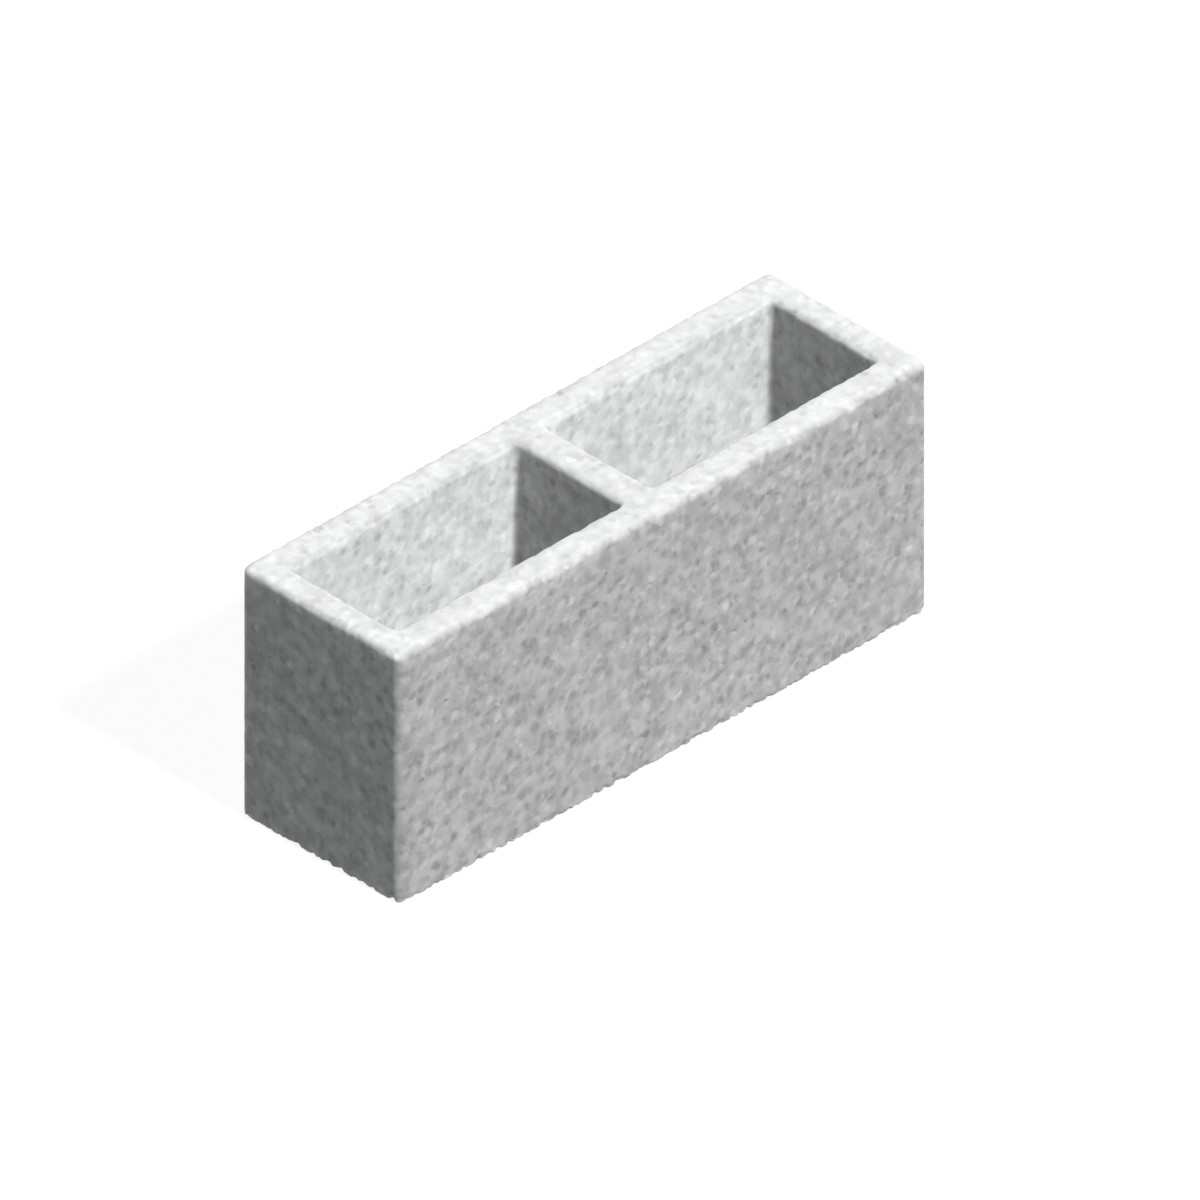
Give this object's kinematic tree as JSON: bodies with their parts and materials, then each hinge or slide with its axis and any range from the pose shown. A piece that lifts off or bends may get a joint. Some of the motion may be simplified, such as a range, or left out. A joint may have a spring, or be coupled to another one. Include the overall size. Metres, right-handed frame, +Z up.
{
  "type": "hollow concrete block",
  "caption": "Rectangular hollow concrete masonry block with open cells between its face shells, laid in mortar courses to build walls.",
  "frame": {"origin": "middle of the bottom bed, the face that is laid on mortar", "axes": "+X along the length, +Y across the width from the front face shell to the back one, +Z up through the cells to the top bed"},
  "size_m": [0.49, 0.15, 0.2],
  "materials": {
    "concrete": "matte"
  },
  "bodies": {
    "root": {"hollow_block": "concrete"}
  },
  "joints": []
}
